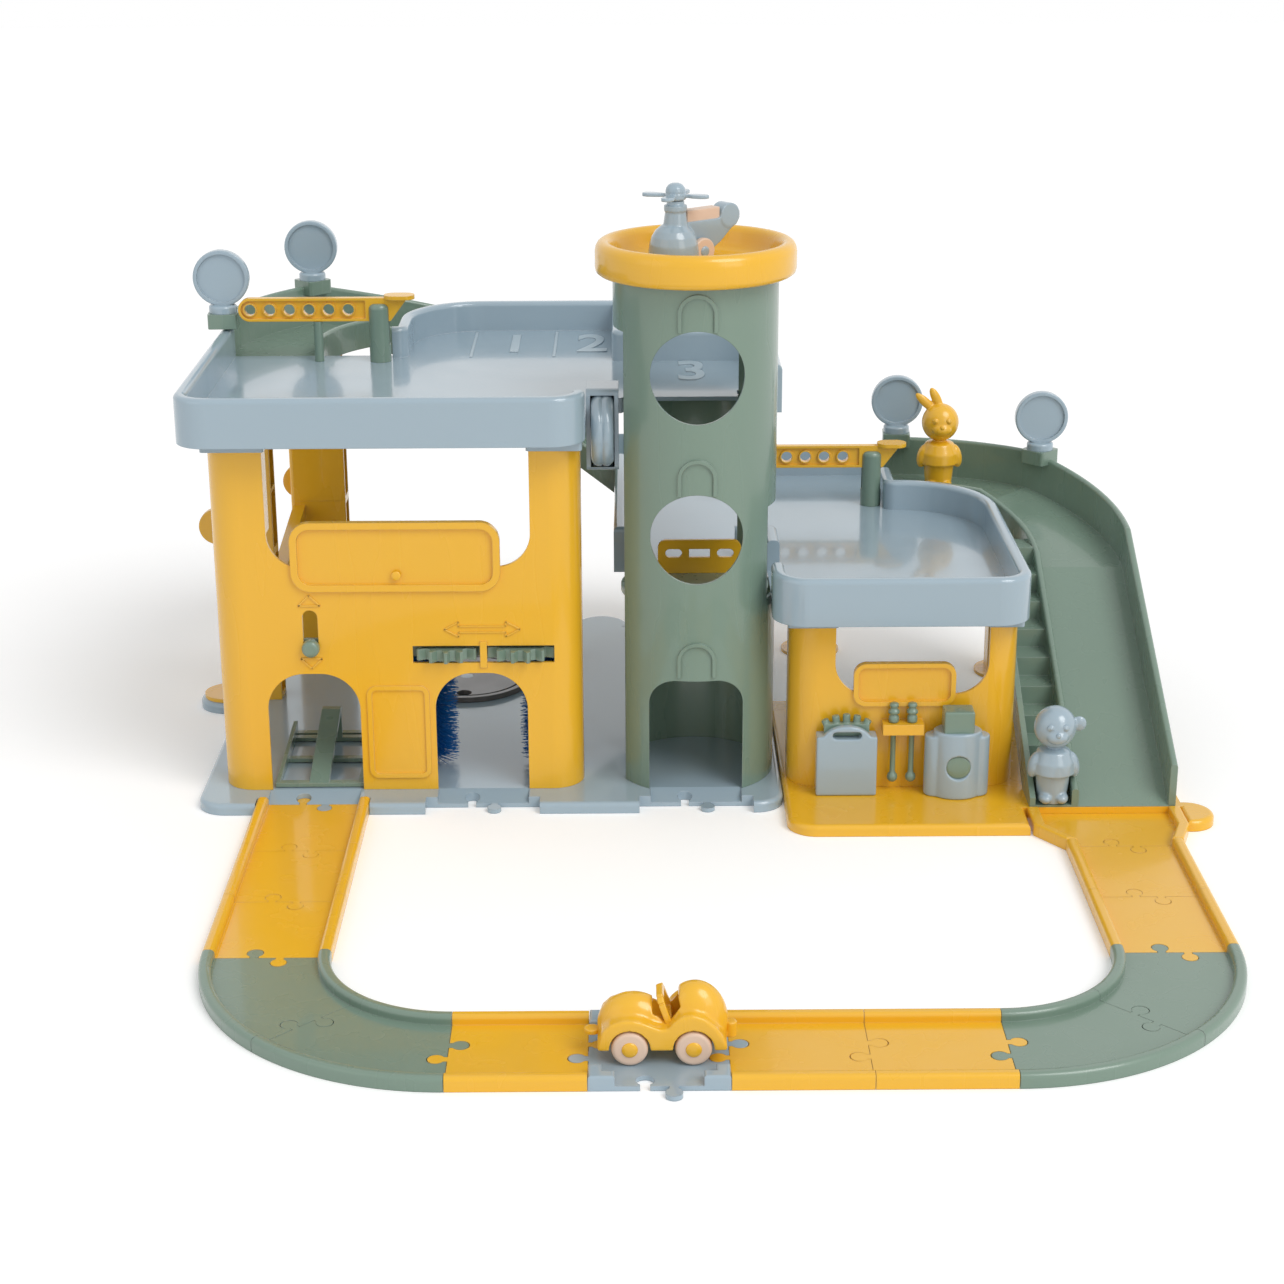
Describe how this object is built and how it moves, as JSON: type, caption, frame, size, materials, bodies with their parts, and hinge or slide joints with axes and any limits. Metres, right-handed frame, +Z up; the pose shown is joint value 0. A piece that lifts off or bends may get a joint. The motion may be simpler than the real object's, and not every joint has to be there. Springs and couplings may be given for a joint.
{
  "type": "toy parking garage with lift",
  "caption": "Toy parking garage with a crank lift in a round tower, decks, ramps, gates, a brush car wash, a hoist and a loop of plug-together road.",
  "frame": {"origin": "the lift tower's axis on the floor that the base stands on", "axes": "+Z up, +Y to the back, +X to the right seen from the front"},
  "size_m": [0.745, 0.8123, 0.432],
  "materials": {
    "yellow_plastic": "semi-gloss moulded",
    "blue_plastic": "semi-gloss moulded",
    "green_plastic": "semi-gloss moulded",
    "dark_plastic": "semi-gloss moulded",
    "cream_plastic": "satin moulded",
    "brush_fibre": "nylon bristles"
  },
  "bodies": {
    "garage": {"road_left_straights": "yellow_plastic", "road_left_curves": "green_plastic", "road_front_straights": "yellow_plastic", "road_junction": "blue_plastic", "road_right_curves": "green_plastic", "road_right_straights": "yellow_plastic", "road_funnel": "yellow_plastic", "base_plate": "blue_plastic", "right_base": "yellow_plastic", "garage_front_wall": "yellow_plastic", "right_front_wall": "yellow_plastic", "upper_deck": "blue_plastic", "second_deck": "blue_plastic", "upper_ramp": "green_plastic", "right_ramp": "green_plastic", "ramp_support_lower": "yellow_plastic", "ramp_support_upper": "yellow_plastic", "rear_pillars": "yellow_plastic", "right_ramp_pillar": "yellow_plastic", "tower_front_shell": "green_plastic", "tower_rear_shell": "green_plastic", "helipad": "yellow_plastic", "crank_housing": "blue_plastic", "gate_posts": "green_plastic", "mirrors": "blue_plastic", "wash_bracket": "green_plastic", "fuel_pump": "blue_plastic", "pump_insert": "green_plastic", "tool_case": "blue_plastic", "case_insert": "green_plastic", "nozzles": "green_plastic", "car_body": "yellow_plastic", "helicopter_body": "blue_plastic", "helicopter_seat": "cream_plastic", "bear_figure": "blue_plastic", "rabbit_figure": "yellow_plastic"},
    "lift": {"lift_platform": "green_plastic", "lift_guard": "yellow_plastic"},
    "crank": {"crank_wheel": "blue_plastic"},
    "upper_gate": {"upper_gate_arm": "yellow_plastic"},
    "second_gate": {"second_gate_arm": "yellow_plastic"},
    "turntable_disc": {"turntable": "dark_plastic"},
    "wash_gear_l": {"wash_gear_left": "green_plastic"},
    "wash_gear_r": {"wash_gear_right": "green_plastic"},
    "brush_l": {"wash_spindle_left": "green_plastic", "wash_brush_left": "brush_fibre"},
    "brush_r": {"wash_spindle_right": "green_plastic", "wash_brush_right": "brush_fibre"},
    "hoist": {"hoist_tray": "green_plastic", "hoist_lever": "green_plastic"},
    "car_front": {"car_front_wheels": "cream_plastic"},
    "car_rear": {"car_rear_wheels": "cream_plastic"},
    "heli_wheels": {"helicopter_wheels": "cream_plastic"},
    "heli_rotor": {"helicopter_rotor": "blue_plastic"}
  },
  "joints": [
    {"name": "lift_slide", "type": "slide", "parent": "garage", "child": "lift", "axis": [0, 0, 1], "range_m": [-0.135, 0.1285]},
    {"name": "crank_turn", "type": "hinge", "parent": "garage", "child": "crank", "pos_m": [-0.0647, -0.002, 0.2605], "axis": [1, 0, 0], "range_deg": [-800, 760]},
    {"name": "upper_gate_lift", "type": "hinge", "parent": "garage", "child": "upper_gate", "pos_m": [-0.233, 0.15, 0.3155], "axis": [0, 1, 0], "range_deg": [0, 70]},
    {"name": "second_gate_lift", "type": "hinge", "parent": "garage", "child": "second_gate", "pos_m": [0.144, 0.199, 0.187], "axis": [0, 1, 0], "range_deg": [0, 50]},
    {"name": "turntable_spin", "type": "hinge", "parent": "garage", "child": "turntable_disc", "pos_m": [-0.177, 0.178, 0.01], "axis": [0, 0, 1], "continuous": true},
    {"name": "wash_gear_left_spin", "type": "hinge", "parent": "garage", "child": "wash_gear_l", "pos_m": [-0.175, -0.0255, 0.11], "axis": [0, 0, 1], "continuous": true},
    {"name": "wash_gear_right_spin", "type": "hinge", "parent": "garage", "child": "wash_gear_r", "pos_m": [-0.123, -0.0255, 0.11], "axis": [0, 0, 1], "continuous": true},
    {"name": "brush_left_spin", "type": "hinge", "parent": "garage", "child": "brush_l", "pos_m": [-0.193, 0.0091, 0.06], "axis": [0, 0, 1], "continuous": true},
    {"name": "brush_right_spin", "type": "hinge", "parent": "garage", "child": "brush_r", "pos_m": [-0.105, 0.0091, 0.06], "axis": [0, 0, 1], "continuous": true},
    {"name": "hoist_slide", "type": "slide", "parent": "garage", "child": "hoist", "axis": [0, 0, 1], "range_m": [0, 0.022]},
    {"name": "car_front_spin", "type": "hinge", "parent": "garage", "child": "car_front", "pos_m": [-0.0475, -0.42, 0.0137], "axis": [0, 1, 0], "continuous": true},
    {"name": "car_rear_spin", "type": "hinge", "parent": "garage", "child": "car_rear", "pos_m": [-0.0115, -0.42, 0.0137], "axis": [0, 1, 0], "continuous": true},
    {"name": "heli_wheel_spin", "type": "hinge", "parent": "garage", "child": "heli_wheels", "pos_m": [-0.001, 0.00416, 0.3853], "axis": [-0.6157, 0.788, 0], "continuous": true},
    {"name": "heli_rotor_spin", "type": "hinge", "parent": "garage", "child": "heli_rotor", "pos_m": [-0.014, -0.006, 0.4223], "axis": [0, 0, 1], "continuous": true}
  ],
  "couplings": [
    {"joint": "crank_turn", "follows": "lift_slide", "rad_per_m": 100},
    {"joint": "wash_gear_right_spin", "follows": "wash_gear_left_spin", "ratio": -1},
    {"joint": "brush_left_spin", "follows": "wash_gear_left_spin", "ratio": -2},
    {"joint": "brush_right_spin", "follows": "wash_gear_left_spin", "ratio": 2}
  ]
}
